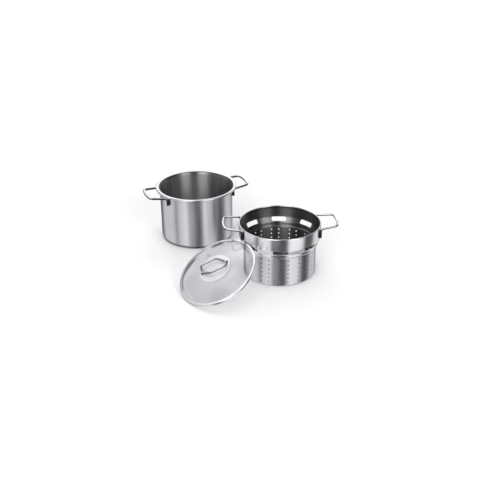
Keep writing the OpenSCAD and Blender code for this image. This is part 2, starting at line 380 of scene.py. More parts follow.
@dataclass(frozen=True)
class PolishedSteel(Finish):
    """Mirror polished stainless steel with faint wiping marks.

    Where above is given, faces that turn away from that direction grow darker, from the cosine
    lit_to downwards and over the length lit_fade: painted shade on the undersides.
    """

    name: str
    level: float = 0.74
    rough: float = 0.10
    scale: float = 900.0
    above: Vector | None = None
    lit_to: float = 0.75
    lit_fade: float = 0.5
    underside_shade: float = 0.07
    metal: float = 1.0

    def draw(self, graph: Graph) -> bpy.types.NodeSocket:
        """Adds the finish's nodes.

        Args:
            graph: The material's graph.

        Returns:
            The shader.
        """
        place = graph.place()
        x, y, z = graph.split(place)
        marks = graph.noise(graph.join(x + y * 0.6, y - z * 0.5, z * 0.15), self.scale, 2.0, 0.7)
        wiped = graph.noise(place, 38.0, 3.0, 0.6)
        shade = graph.blend(0.35 + (wiped - 0.5) * 1.2 + (marks - 0.5) * 0.4,
                            grey(self.level * 0.93, 0.06), grey(self.level * 1.06, 0.05))
        # Painted shade: faces turned away from above darken towards the undersides.
        if self.above:
            nx, ny, nz = graph.split(graph.node("ShaderNodeNewGeometry").outputs["Normal"])
            below = 0 - (nx * self.above.x + ny * self.above.y + nz * self.above.z)
            shade = graph.blend(below.ramp(-self.lit_to, self.lit_fade - self.lit_to), shade,
                                grey(self.level * self.underside_shade, 0.05))
        return graph.node("ShaderNodeBsdfPrincipled", None, {
            "Base Color": shade, "Metallic": self.metal,
            "Roughness": self.rough + (wiped - 0.5) * 0.05 + (marks - 0.5) * 0.04,
            "Normal": graph.bump(marks, 0.000008, 0.25)}).outputs[0]


@dataclass(frozen=True)
class MilledAluminium(Finish):
    """Plain aluminium with a fine even grain."""

    name: str
    level: float = 0.68

    def draw(self, graph: Graph) -> bpy.types.NodeSocket:
        """Adds the finish's nodes.

        Args:
            graph: The material's graph.

        Returns:
            The shader.
        """
        grain = graph.noise(graph.place(), 1600.0, 2.0)
        cloud = graph.noise(graph.place(), 40.0, 3.0)
        return graph.node("ShaderNodeBsdfPrincipled", None, {
            "Base Color": graph.blend(0.5 + (cloud - 0.5) * 0.8,
                                      grey(self.level * 0.92), grey(self.level * 1.06)),
            "Metallic": 1.0, "Roughness": 0.42 + (grain - 0.5) * 0.2,
            "Normal": graph.bump(grain, 0.00002, 0.3)}).outputs[0]


@dataclass(frozen=True)
class Silicone(Finish):
    """Matt silicone rubber."""

    name: str
    level: float = 0.045

    def draw(self, graph: Graph) -> bpy.types.NodeSocket:
        """Adds the finish's nodes.

        Args:
            graph: The material's graph.

        Returns:
            The shader.
        """
        pores = graph.noise(graph.place(), 2200.0, 2.0)
        dust = graph.noise(graph.place(), 90.0, 4.0, 0.6)
        return graph.node("ShaderNodeBsdfPrincipled", None, {
            "Base Color": graph.blend(dust.ramp(0.4, 0.8) * 0.5, grey(self.level), grey(self.level * 2.2)),
            "Roughness": 0.55 + (pores - 0.5) * 0.2 + (dust - 0.5) * 0.15,
            "Normal": graph.bump(pores, 0.00003, 0.4)}).outputs[0]


@dataclass(frozen=True)
class ClearGlass(Finish):
    """Clear toughened glass: what lies behind it shows through, and its faces gleam."""

    name: str
    tint: tuple[float, float, float, float] = (0.93, 0.93, 0.943, 1.0)
    gleam: float = 0.15

    def draw(self, graph: Graph) -> bpy.types.NodeSocket:
        """Adds the finish's nodes.

        Args:
            graph: The material's graph.

        Returns:
            The shader.
        """
        wiped = graph.noise(graph.place(), 26.0, 3.0, 0.6)
        clear = graph.node("ShaderNodeBsdfTransparent", None, {"Color": self.tint}).outputs[0]
        face = graph.node("ShaderNodeBsdfPrincipled", None, {
            "Base Color": graph.blend(wiped, (0.84, 0.86, 0.87, 1.0), (0.92, 0.94, 0.95, 1.0)),
            "Metallic": 0.9, "Roughness": 0.03 + (wiped - 0.5) * 0.02,
            "Normal": graph.bump(wiped, 0.00001, 0.1)}).outputs[0]
        edge = Value(graph, graph.node("ShaderNodeLayerWeight", None, {"Blend": 0.35}).outputs["Fresnel"])
        share = edge * self.gleam + 0.02 + (wiped - 0.5) * 0.02
        return graph.node("ShaderNodeMixShader", None, {0: share, 1: clear, 2: face}).outputs[0]


# Modelling
def bend_corners(bm: BMesh, points: Sequence[Point], radii: Sequence[float], segments: int = 7) -> None:
    """Lays a line in the XZ plane and bends its inner corners.

    Args:
        bm: Gets the line.
        points: Distance from the axis and height of each corner, in millimetres.
        radii: Bend radius of each corner.
        segments: Straight pieces in one bend.
    """
    verts = [bm.verts.new((x, 0, z)) for x, z in points]
    for first, second in zip(verts, verts[1:]):
        bm.edges.new((first, second))
    for i, radius in enumerate(radii):
        if radius:
            before = Vector(points[i]) - Vector(points[i - 1])
            after = Vector(points[i + 1]) - Vector(points[i])
            bmesh.ops.bevel(bm, geom=[verts[i]], offset=radius * math.tan(before.angle(after) / 2),
                            offset_type="OFFSET", segments=segments, profile=0.5, affect="VERTICES",
                            clamp_overlap=False, material=-1)


def face_outwards(bm: BMesh, start: Point, heading: Point) -> None:
    """Turns the faces of a spun sheet to the right of its line.

    Args:
        bm: The spun sheet.
        start: A point on the line.
        heading: The line's direction there.
    """
    bmesh.ops.recalc_face_normals(bm, faces=bm.faces)

    def miss(face: BMFace) -> float:
        """How far a face lies from the start."""
        centre = face.calc_center_median()
        return math.hypot(centre.xy.length - start[0], centre.z - start[1])

    nearest = min(bm.faces, key=miss)
    out = nearest.calc_center_median().xy.normalized()
    if nearest.normal.dot(Vector((out.x * heading[1], out.y * heading[1], -heading[0]))) < 0:
        bmesh.ops.reverse_faces(bm, faces=bm.faces)


def spin_sheet(points: Sequence[Point], radii: Sequence[float], thickness: float = 0.0, steps: int = 240,
               segments: int = 7) -> BMesh:
    """Spins a line of bent sheet round the Z axis.

    Args:
        points: Corners of the line, with the sheet on its left.
        radii: Bend radius of each corner.
        thickness: Thickness of the sheet, or 0 to leave it without.
        steps: Steps of the full turn.
        segments: Straight pieces in one bend.

    Returns:
        The sheet, in millimetres.
    """
    bm = bmesh.new()
    bend_corners(bm, points, radii, segments)
    bmesh.ops.spin(bm, geom=bm.verts[:] + bm.edges[:], cent=(0, 0, 0), axis=(0, 0, 1), dvec=(0, 0, 0),
                   angle=math.tau, steps=steps, use_merge=True, use_normal_flip=False, use_duplicate=False)
    bmesh.ops.remove_doubles(bm, verts=bm.verts, dist=0.001)
    middle = ((points[0][0] + points[1][0]) / 2, (points[0][1] + points[1][1]) / 2)
    face_outwards(bm, middle, (points[1][0] - points[0][0], points[1][1] - points[0][1]))
    if thickness:
        thicken(bm, thickness)
    return bm


def thicken(bm: BMesh, thickness: float) -> None:
    """Gives a sheet its thickness, behind its faces.

    Args:
        bm: The sheet, with its faces outwards.
        thickness: In millimetres.
    """
    bmesh.ops.solidify(bm, geom=bm.faces, thickness=thickness)
    bmesh.ops.recalc_face_normals(bm, faces=bm.faces)


def bend_wire(bm: BMesh, path: Sequence[Vector], radii: Sequence[float], diameter: float,
              sides: int = 24) -> None:
    """Bends a round wire: straight lengths are extruded and bends are spun.

    Args:
        bm: Gets the wire as a closed tube.
        path: Corners of its middle line, in millimetres.
        radii: Bend radius of each corner.
        diameter: Diameter of the wire.
        sides: Sides of the tube.
    """
    ways = [(b - a).normalized() for a, b in zip(path, path[1:])]
    cuts = [0.0] + [r * math.tan(a.angle(b) / 2) for r, a, b in zip(radii[1:], ways, ways[1:])] + [0.0]
    turn = ways[0].to_track_quat("Z", "Y").to_matrix().to_4x4()
    ring = bmesh.ops.create_circle(bm, cap_ends=True, radius=diameter / 2, segments=sides,
                                   matrix=Matrix.Translation(path[0]) @ turn)["verts"]
    edges = list({e for v in ring for e in v.link_edges})
    caps = edges[:]
    for i, way in enumerate(ways):
        length = (path[i + 1] - path[i]).length - cuts[i] - cuts[i + 1]
        made = bmesh.ops.extrude_edge_only(bm, edges=edges)["geom"]
        bmesh.ops.translate(bm, verts=[g for g in made if isinstance(g, BMVert)], vec=way * length)
        edges = [g for g in made if isinstance(g, BMEdge)]
        if i + 1 < len(ways):
            axis = way.cross(ways[i + 1]).normalized()
            centre = path[i + 1] - cuts[i + 1] * way + radii[i + 1] * axis.cross(way)
            angle = way.angle(ways[i + 1])
            made = bmesh.ops.spin(bm, geom=edges + list({v for e in edges for v in e.verts}), cent=centre,
                                  axis=axis, dvec=(0, 0, 0), angle=angle, steps=max(3, round(angle / 0.16)),
                                  use_merge=False, use_normal_flip=False, use_duplicate=False)["geom_last"]
            edges = [g for g in made if isinstance(g, BMEdge)]
    bmesh.ops.edgeloop_fill(bm, edges=edges)
    bmesh.ops.recalc_face_normals(bm, faces=bm.faces)
    bmesh.ops.bevel(bm, geom=caps + edges, offset=diameter * 0.12, offset_type="OFFSET", segments=3,
                    profile=0.5, affect="EDGES", clamp_overlap=True, material=-1)


def block(bm: BMesh, size: Place, place: Matrix, rounding: float) -> None:
    """Adds a rounded block.

    Args:
        bm: Gets the block.
        size: Its three sizes.
        place: Where its middle goes.
        rounding: Radius of its edges.
    """
    made = bmesh.ops.create_cube(bm, size=1.0, matrix=place @ Matrix.Diagonal((*size, 1.0)))["verts"]
    bmesh.ops.bevel(bm, geom=list({e for v in made for e in v.link_edges}), offset=rounding,
                    offset_type="OFFSET", segments=3, profile=0.5, affect="EDGES", clamp_overlap=True,
                    material=-1)


def piece(bm: BMesh, name: str, finish: Finish, nodes: Iterable[str],
          place: Matrix = Matrix.Identity(4), crease: float = 32.0) -> bpy.types.Object:
    """Makes a finished piece of a mesh and puts it in the frame.

    Args:
        bm: The mesh in millimetres, freed here.
        name: Name of the piece.
        finish: Its surface.
        nodes: The CAD nodes that it stands for.
        place: Where its own frame lies, in millimetres.
        crease: Angle above which an edge stays sharp, in degrees.

    Returns:
        The object, at the origin.
    """
    bmesh.ops.transform(bm, matrix=Matrix.Scale(MM, 4) @ place, verts=bm.verts)
    mesh = bpy.data.meshes.new(name)
    bm.to_mesh(mesh)
    bm.free()
    mesh.shade_smooth()
    mesh.set_sharp_from_angle(angle=math.radians(crease))
    mesh.materials.append(finish.material())
    made = bpy.data.objects.new(name, mesh)
    bpy.context.scene.collection.objects.link(made)
    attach(made, BODY)
    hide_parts(*nodes)
    log.info("%s: %d faces for %s", name, len(mesh.polygons), ", ".join(nodes))
    return made


def dress(node: str, finish: Finish) -> None:
    """Gives a CAD node its finish.

    Args:
        node: Name of the node.
        finish: Its surface.
    """
    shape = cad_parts[node]
    shape.data.materials.clear()
    shape.data.materials.append(finish.material())
    log.info("%s keeps its solid, in %s", node, finish.name)


# Sub-assemblies
@dataclass
class WireHandle:
    """Loop handle of bent wire, welded to a round wall by its two legs.

    The bend of the grip and the sizes of the weld, but for its gap, are shares of the wire's diameter.
    """

    wall_r: float
    wire_d: float
    top_z: float
    leg_h: float
    finger_room: float
    leg_half: float = 52.0
    grip_half: float = 42.0
    grip_bow: float = 6.0
    grip_mid_r: float = 120.0
    grip_rise: float = 5.0
    grip_bend: float = 1.6
    weld_gap: float = 0.3
    weld_low: float = 0.125
    weld_short: float = 1.25
    weld_w: float = 0.6
    weld_edge: float = 0.08

    def shape(self) -> BMesh:
        """Bends the wire and adds the weld beside each leg.

        Returns:
            The handle, pointing along X.
        """
        d = self.wire_d
        leg_x = math.sqrt((self.wall_r + self.weld_gap + d / 2) ** 2 - self.leg_half ** 2)
        grip_x = self.wall_r + self.finger_room + d / 2
        grip_z = self.top_z + self.grip_rise
        foot_z = self.top_z - self.leg_h
        half = [Vector((leg_x, self.leg_half, foot_z)), Vector((leg_x, self.leg_half, self.top_z)),
                Vector((grip_x, self.grip_half, grip_z))]
        path = half + [Vector((grip_x + self.grip_bow, 0, grip_z))]
        path += [Vector((p.x, -p.y, p.z)) for p in reversed(half)]
        bm = bmesh.new()
        corner = self.grip_bend * d
        bend_wire(bm, path, [0, d, corner, self.grip_mid_r, corner, d, 0], d)
        for side in (-1, 1):
            angle = side * math.atan2(self.leg_half, leg_x)
            reach = self.weld_gap + d / 2
            height = self.leg_h - self.weld_short * d
            middle = (leg_x, side * self.leg_half, foot_z + self.weld_low * d + height / 2)
            place = (Matrix.Translation(middle) @ Matrix.Rotation(angle, 4, "Z")
                     @ Matrix.Translation((-reach / 2, 0, 0)))
            block(bm, (reach, d * self.weld_w, height), place, d * self.weld_edge)
        return bm

    def build(self, name: str, axis: Point, turn: float, finish: Finish) -> None:
        """Puts the handle on its wall.

        Args:
            name: Name of the piece and of its CAD node.
            axis: Axis of the wall.
            turn: Direction in which the handle points, in degrees.
            finish: Its surface.
        """
        place = Matrix.Translation((*axis, 0)) @ Matrix.Rotation(math.radians(turn), 4, "Z")
        piece(self.shape(), f"{name}_wire", finish, [name], place)


@dataclass
class Pot:
    """Pot of bent sheet with a flared, rolled lip and a bonded base."""

    inner_r: float = 120.0
    height: float = 181.0
    sheet_t: float = 1.0
    corner_r: float = 6.0
    lip_w: float = 15.0
    flare_r: float = 9.0
    lip_drop: float = 4.5
    lip_roll: float = 3.0
    hem: float = 2.0
    hem_r: float = 0.6
    base_h: float = 6.5
    handle_d: float = 8.0
    handle_drop: float = 13.0
    leg_h: float = 24.0
    finger_room: float = 44.0
    handle_turn: float = 20.0
    axis: Point = (0.0, 0.0)
    # The inner faces and the band just under the lip carry painted shade.
    finish: TurnedSteel = field(default_factory=lambda: TurnedSteel(
        "pot_turned_steel", (0.0, 0.0), polished_from=(179.0, 180.3), inside_shade=0.7, inside_rough=0.0,
        rim_z=180.0))

    def body(self) -> BMesh:
        """Bends the sheet of the pot.

        Returns:
            The sheet round its own axis.
        """
        outer = self.inner_r + self.sheet_t
        lip = self.inner_r + self.lip_w - self.sheet_t
        top = self.height - self.sheet_t
        low = self.height - self.lip_drop
        points = [(0, self.base_h), (outer * 0.5, self.base_h), (outer, self.base_h),
                  (outer, self.height * 0.5), (outer, top), (lip, top), (lip, low), (lip - self.hem, low)]
        radii = [0, 0, self.corner_r + self.sheet_t, 0, self.flare_r - self.sheet_t,
                 self.lip_roll - self.sheet_t, self.hem_r, 0]
        return spin_sheet(points, radii, self.sheet_t)

    def build(self, wire: Finish) -> None:
        """Builds and dresses the pot.

        Args:
            wire: Finish of the handles.
        """
        piece(self.body(), "pot_body", self.finish, ["pot_shell"])
        # The base cap is darkened with painted contact shade along the pot's foot.
        dress("pot_base_cap", TurnedSteel("base_turned_steel", self.axis, satin=0.3, level=0.24))
        dress("pot_base_core", MilledAluminium("milled_aluminium"))
        handle = WireHandle(self.inner_r + self.sheet_t, self.handle_d, self.height - self.handle_drop,
                            self.leg_h, self.finger_room)
        handle.build("pot_handle_right", self.axis, self.handle_turn, wire)
        handle.build("pot_handle_left", self.axis, self.handle_turn + 180, wire)


@dataclass
class Insert:
    """Perforated insert: a punched wall, a bead, a slotted shoulder and a rolled band.

    The bends are the radii of the sheet at the step, at the bead's foot and top, and at the shoulder.
    """

    axis: Point = (267.4, -264.1)
    height: float = 164.0
    sheet_t: float = 1.0
    wall_r: float = 112.0
    bead_r: float = 117.0
    band_r: float = 126.0
    band_z: float = 124.0
    step_z: float = 95.0
    bead_z: Span = (99.0, 108.0)
    bead_lean: float = 0.6
    bends: tuple[float, ...] = (2.5, 4.0, 5.0, 9.0)
    roll_w: float = 4.0
    roll_h: float = 3.5
    corner_r: float = 6.0
    column_pairs: int = 12
    pair_angle: float = 12.0
    column_turn: float = 4.5
    hole_rows: int = 6
    hole_pitch: float = 14.4
    hole_r: float = 2.2
    rings: int = 4
    ring_pitch: float = 22.0
    slots: int = 8
    slot_angle: float = 21.0
    slot_turn: float = -1.5
    slot_z: Span = (111.5, 124.5)
    slot_corner: float = 3.0
    shoulder_z: Span = (105.0, 135.0)
    cell: float = 3.0
    cell_edge: float = 0.6
    steps: int = 240
    handle_d: float = 7.0
    handle_drop: float = 4.0
    leg_h: float = 29.0
    finger_room: float = 40.0
    handle_turn: float = 2.0

    def sheet(self) -> BMesh:
        """Spins the side wall, with lines where holes and slots will be punched.

        Returns:
            The wall, still without thickness.
        """
        rows = [k * self.hole_pitch + side * self.cell
                for k in range(1, self.hole_rows + 1) for side in (-1, 0, 1)]
        points = [(self.wall_r - self.corner_r - 1, 0), (self.wall_r, 0)] + [(self.wall_r, z) for z in rows]
        radii = [0, self.corner_r] + [0] * len(rows)
        rolled = self.band_r - self.roll_w
        points += [(self.wall_r, self.step_z), (self.bead_r, self.bead_z[0]),
                   (self.bead_r + self.bead_lean, self.bead_z[1]), (self.band_r, self.band_z),
                   (self.band_r, self.height), (rolled, self.height), (rolled, self.height - self.roll_h)]
        radii += [*self.bends, self.roll_w / 2, self.roll_w / 2 - 0.2, 0]
        bm = spin_sheet(points, radii, steps=self.steps)
        low, high = self.slot_z
        for z in (low, low + self.slot_corner, high - self.slot_corner, high):
            bmesh.ops.bisect_plane(bm, geom=bm.verts[:] + bm.edges[:] + bm.faces[:], dist=0.01,
                                   plane_co=(0, 0, z), plane_no=(0, 0, 1))
        return bm

    def punch_wall(self, bm: BMesh) -> None:
        """Punches the paired columns of holes.

        Args:
            bm: The wall.
        """
        pairs = [360 / self.column_pairs * k + self.column_turn for k in range(self.column_pairs)]
        columns = [a + s * self.pair_angle / 2 for a in pairs for s in (-1, 1)]
        step = 360 / self.steps
        wanted = {(round(a / step) % self.steps, k) for a in columns for k in range(1, self.hole_rows + 1)}
        centres = []
        for vert in bm.verts:
            row = round(vert.co.z / self.hole_pitch)
            column = round(math.degrees(math.atan2(vert.co.y, vert.co.x)) / step) % self.steps
            if abs(vert.co.z - row * self.hole_pitch) < 0.01 and (column, row) in wanted:
                centres.append(vert)
        spots = [v.co.copy() for v in centres]
        bmesh.ops.dissolve_verts(bm, verts=centres, use_face_split=False, use_boundary_tear=False)
        cells = [f for f in bm.faces if len(f.verts) == 8]
        bmesh.ops.inset_individual(bm, faces=cells, thickness=self.cell_edge, depth=0.0, use_even_offset=True,
                                   use_interpolate=False, use_relative_offset=False)
        bmesh.ops.subdivide_edges(bm, edges=list({e for f in cells for e in f.edges}), cuts=1)
        for face in [f for f in bm.faces if len(f.verts) == 16]:
            middle = face.calc_center_median()
            spot = min(spots, key=lambda s: (s - middle).length_squared)
            along = Vector((-spot.y, spot.x, 0)).normalized()
            for vert in face.verts:
                a, b = (vert.co - spot).dot(along), vert.co.z - spot.z
                size = math.hypot(a, b)
                place = spot + along * (a / size * self.hole_r)
                place.z = spot.z + b / size * self.hole_r
                place.xy = place.xy.normalized() * self.wall_r
                vert.co = place
        bmesh.ops.delete(bm, geom=[f for f in bm.faces if len(f.verts) == 16], context="FACES_ONLY")

    def punch_slots(self, bm: BMesh) -> None:
        """Punches the steam slots through the shoulder and rounds their corners.

        Args:
            bm: The wall.
        """
        low, high = self.slot_z
        middles = [360 / self.slots * k + self.slot_turn for k in range(self.slots)]

        def away(place: Vector) -> float:
            """Angle from the nearest slot's middle, in degrees."""
            angle = math.degrees(math.atan2(place.y, place.x))
            return min(((angle - m + 180) % 360 - 180 for m in middles), key=abs)

        line = sorted({(round(v.co.z, 3), round(v.co.xy.length, 3)) for v in bm.verts
                       if self.shoulder_z[0] < v.co.z < self.shoulder_z[1]
                       and v.co.x > 0 and abs(v.co.y) < 0.01})

        def radius(z: float) -> float:
            """Radius of the shoulder at a height.

            Args:
                z: The height.

            Returns:
                The radius, or the band's where the line has no such height.
            """
            for (z0, r0), (z1, r1) in zip(line, line[1:]):
                if z0 <= z <= z1:
                    return r0 + (r1 - r0) * (z - z0) / max(z1 - z0, 1e-6)
            return self.band_r

        gone = [f for f in bm.faces if low < f.calc_center_median().z < high
                and abs(away(f.calc_center_median())) < self.slot_angle / 2]
        bmesh.ops.delete(bm, geom=gone, context="FACES")
        half = self.band_r * math.sin(math.radians(self.slot_angle / 2))
        rims = [e for e in bm.edges
                if e.is_boundary and all(low - 0.1 < v.co.z < high + 0.1 for v in e.verts)]

        def near_corner(place: Vector) -> bool:
            """Whether a place lies beside a slot's corner."""
            side = self.slot_angle / 2 - abs(away(place))
            return side < 1.1 and min(place.z - low, high - place.z) < self.slot_corner / 2 + 0.1

        corner = [e for e in rims if near_corner((e.verts[0].co + e.verts[1].co) / 2)]
        bmesh.ops.subdivide_edges(bm, edges=corner, cuts=2)
        edge = {v for e in bm.edges if e.is_boundary for v in e.verts
                if all(low - 0.1 < w.co.z < high + 0.1 for w in e.verts)}
        for vert in edge:
            angle = away(vert.co)
            middle = math.radians(math.degrees(math.atan2(vert.co.y, vert.co.x)) - angle)
            side = vert.co.xy.length * math.sin(math.radians(abs(angle)))
            if abs(angle) > self.slot_angle / 2 - 1.6:
                side = half * min(1.0, abs(angle) / (self.slot_angle / 2))
            z = vert.co.z
            inner = Vector((half - self.slot_corner, (high - self.slot_corner) if z > (low + high) / 2
                            else (low + self.slot_corner)))
            spot = Vector((side, z)) - inner
            if spot.x > 0.01 and spot.y * (1 if z > (low + high) / 2 else -1) > 0.01:
                spot = inner + spot.normalized() * self.slot_corner
                side, z = spot.x, spot.y
            r = radius(z)
            turn = middle + math.copysign(math.asin(min(0.99, side / r)), angle)
            vert.co = (r * math.cos(turn), r * math.sin(turn), z)

    def add_bottom(self, bm: BMesh) -> None:
        """Fills the bottom round its punched rings of holes.

        Args:
            bm: The wall.
        """
        edges = [e for e in bm.edges if e.is_boundary and all(abs(v.co.z) < 0.01 for v in e.verts)]
        spots = [(0.0, 0.0)] + [(self.ring_pitch * n, 60 / n * k)
                                for n in range(1, self.rings + 1) for k in range(6 * n)]
        for distance, angle in spots:
            place = Matrix.Rotation(math.radians(angle), 4, "Z") @ Matrix.Translation((distance, 0, 0))
            ring = bmesh.ops.create_circle(bm, cap_ends=False, radius=self.hole_r, segments=16,
                                           matrix=place)["verts"]
            edges += list({e for v in ring for e in v.link_edges})
        bmesh.ops.triangle_fill(bm, use_beauty=True, use_dissolve=False, edges=edges)

    def basket(self) -> BMesh:
        """Spins, punches and thickens the sheet of the insert.

        Returns:
            The sheet round its own axis.
        """
        bm = self.sheet()
        self.punch_wall(bm)
        self.punch_slots(bm)
        self.add_bottom(bm)
        face_outwards(bm, (self.wall_r, self.hole_pitch / 2), (0, 1))
        thicken(bm, self.sheet_t)
        return bm

    def build(self, wire: Finish) -> None:
        """Builds and dresses the insert.

        Args:
            wire: Finish of the handles.
        """
        # The basket's inner faces carry painted shade, and its polished band a partly painted highlight.
        finish = TurnedSteel("insert_turned_steel", self.axis, satin=0.3, bright=0.24, bright_level=0.74,
                             polished_from=(93.0, 97.0), inside_shade=0.32, rim_z=self.height - 3)
        piece(self.basket(), "insert_body", finish, ["insert_basket"],
              Matrix.Translation((*self.axis, 0)))
        handle = WireHandle(self.band_r, self.handle_d, self.height - self.handle_drop,
                            self.leg_h, self.finger_room)
        handle.build("insert_handle_right", self.axis, self.handle_turn, wire)
        handle.build("insert_handle_left", self.axis, self.handle_turn + 180, wire)


@dataclass
class Lid:
    """Domed glass in a steel rim, with a plate and a wire handle, leaning on the insert.

    The handle's feet flare out towards the plate and sink into its face a little.
    """

    rim_r: float = 123.5
    skirt_r: float = 118.0
    skirt_h: float = 7.0
    strip_t: float = 0.6
    strip_lip: float = 6.0
    edge_r: float = 1.6
    glass_t: float = 4.0
    dome_h: float = 21.0
    dome_r: float = 497.0
    shoulder_w: float = 4.0
    dome_end: float = 14.0
    shoulder_bends: Span = (12.0, 10.0)
    plate_r: float = 50.0
    plate_t: float = 1.2
    gasket_t: float = 0.8
    gap: float = 0.1
    tilt: float = 30.0
    lean_turn: float = 35.5
    own_turn: float = -28.0
    wire_d: float = 6.0
    foot_half: float = 39.5
    loop_half: float = 23.5
    loop_in: float = 3.5
    loop_lead: float = 26.0
    loop_h: float = 11.0
    loop_bends: Span = (7.0, 9.0)
    foot_d: float = 9.5
    foot_h: float = 6.5
    foot_flare: float = 0.4
    flare_h: float = 1.2
    sink: float = 0.1
    insert: Insert = field(default_factory=Insert)

    def place(self) -> Matrix:
        """Leans the lid on the insert's band, with its lower edge on the floor.

        Returns:
            Where the lid's own frame lies.
        """
        tilt, lean = math.radians(self.tilt), math.radians(self.lean_turn)
        reach = (self.rim_r - self.edge_r) * math.cos(tilt) - self.edge_r * math.sin(tilt) + self.edge_r
        away = self.insert.band_r + self.gap + reach
        x, y = self.insert.axis
        height = self.skirt_r * math.sin(tilt) + self.skirt_h * math.cos(tilt)
        return (Matrix.Translation((x - away * math.cos(lean), y - away * math.sin(lean), height))
                @ Matrix.Rotation(lean, 4, "Z") @ Matrix.Rotation(-tilt, 4, "Y")
                @ Matrix.Rotation(math.radians(self.own_turn), 4, "Z"))

    def dome(self, r: float) -> float:
        """Height of the glass's outer face at a distance from the axis."""
        return self.dome_h - r * r / (2 * self.dome_r)

    def dome_line(self, end: float, lift: float, parts: int = 26) -> list[Point]:
        """Line that follows the dome.

        Args:
            end: Distance from the axis at which it stops.
            lift: Height above the glass's outer face.
            parts: Straight pieces.

        Returns:
            Its points.
        """
        return [(end * k / parts, self.dome(end * k / parts) + lift) for k in range(parts + 1)]

    def glass(self) -> BMesh:
        """Spins the glass.

        Returns:
            The glass in the lid's own frame.
        """
        line = self.dome_line(self.skirt_r - self.dome_end, -self.glass_t)
        line += [(self.skirt_r - self.shoulder_w, self.strip_t), (self.rim_r - self.edge_r, self.strip_t)]
        radii = [0.0] * (len(line) - 3) + [*self.shoulder_bends, 0.0]
        return spin_sheet(line, radii, self.glass_t, steps=180)

    def rim(self) -> BMesh:
        """Rolls the steel strip round the glass's edge.

        Returns:
            The strip in the lid's own frame.
        """
        top = self.glass_t + 2 * self.strip_t
        points = [(self.skirt_r, -self.skirt_h), (self.skirt_r, 0), (self.rim_r, 0), (self.rim_r, top),
                  (self.rim_r - self.strip_lip, top)]
        return spin_sheet(points, [0, 0.8, self.edge_r, self.edge_r, 0], self.strip_t)

    def plate(self) -> BMesh:
        """Presses the plate over the dome.

        Returns:
            The plate in the lid's own frame.
        """
        inner = self.plate_r - self.plate_t
        line = self.dome_line(inner, self.gasket_t, 14) + [(inner, self.dome(self.plate_r) + self.gap)]
        return spin_sheet(line, [0.0] * (len(line) - 2) + [0.5, 0.0], self.plate_t, steps=144)

    def handle(self) -> BMesh:
        """Bends the two bars and sets them in their feet.

        Returns:
            The bars and feet in the lid's own frame.
        """
        top = self.dome(self.foot_half) + self.gasket_t + self.plate_t
        foot_z = top + self.foot_h - self.wire_d / 2
        bar_z = top + self.loop_h
        bm = bmesh.new()
        for side in (1, -1):
            path = [Vector((side * x, side * y, z)) for x, y, z in (
                (-self.foot_half, 0, foot_z), (self.loop_in - self.foot_half, self.loop_half, bar_z),
                (self.foot_half - self.loop_lead, self.loop_half, bar_z), (self.foot_half, 0, foot_z))]
            bend_wire(bm, path, [0, *self.loop_bends, 0], self.wire_d)
        foot_r = self.foot_d / 2
        for side in (1, -1):
            foot = spin_sheet([(0, top - self.sink), (foot_r + self.foot_flare, top - self.sink),
                               (foot_r, top + self.flare_h), (foot_r, top + self.foot_h),
                               (0, top + self.foot_h)], [0, 0.3, 1.0, 1.4, 0], steps=36)
            bmesh.ops.translate(foot, verts=foot.verts, vec=(side * self.foot_half, 0, 0))
            spare = bpy.data.meshes.new("foot")
            foot.to_mesh(spare)
            foot.free()
            bm.from_mesh(spare)
            bpy.data.meshes.remove(spare)
        return bm

    def build(self) -> None:
        """Builds and dresses the lid."""
        place = self.place()
        piece(self.glass(), "lid_dome", ClearGlass("toughened_glass"), ["lid_glass"], place)
        strip = PolishedSteel("strip_steel", level=0.86, rough=0.2)
        piece(self.rim(), "lid_strip", strip, ["lid_rim"], place)
        disc = PolishedSteel("plate_steel", level=0.88, rough=0.5, metal=0.45)
        piece(self.plate(), "lid_disc", disc, ["lid_plate"], place)
        # The bars' sides turned from the lid's up carry painted shade.
        bars = PolishedSteel("bar_steel", level=0.86, above=place.to_3x3() @ Vector((0, 0, 1)), lit_to=1.05)
        piece(self.handle(), "lid_bars", bars, ["lid_handle"], place)
        dress("lid_vent_eyelet", strip)
        rubber = Silicone("silicone_rubber")
        for node in ("lid_gasket", "lid_seal_upper", "lid_seal_lower"):
            dress(node, rubber)
        screw = PolishedSteel("screw_steel", level=0.62, rough=0.28, scale=1600.0)
        for node in ("lid_washer_upper", "lid_washer_lower", "lid_screw_upper", "lid_screw_lower"):
            dress(node, screw)


# Studio
@dataclass(frozen=True)
class Panel:
    """A soft panel that stands round the table.

    The azimuth is 0 towards the camera and grows towards the right of the picture. All are degrees.
    """

    azimuth: float
    half: float
    soft: float
    strength: float
    low: float = -90.0
    high: float = 14.0
    fade: float = 8.0

    def light(self, x: Value, y: Value, z: Value) -> Value:
        """What it gives in a direction.

        Args:
            x: Level part of the direction, to the right.
            y: Level part of the direction, away from the camera.
            z: Sine of the elevation.

        Returns:
            The radiance.
        """
        angle = math.radians(self.azimuth)
        facing = x * math.sin(angle) - y * math.cos(angle)
        part = facing.ramp(math.cos(math.radians(self.half + self.soft)),
                           math.cos(math.radians(max(0.0, self.half - self.soft)))) * self.strength
        part = part * (1 - z.ramp(math.sin(math.radians(self.high - self.fade)),
                                  math.sin(math.radians(self.high + self.fade))))
        if self.low > -90:
            part = part * z.ramp(math.sin(math.radians(self.low - self.fade)),
                                 math.sin(math.radians(self.low + self.fade)))
        return part


@dataclass(frozen=True)
class Sun:
    """A wide soft light above the table: where it shines from, its power and its width in degrees."""

    name: str
    place: Place
    power: float
    spread: float


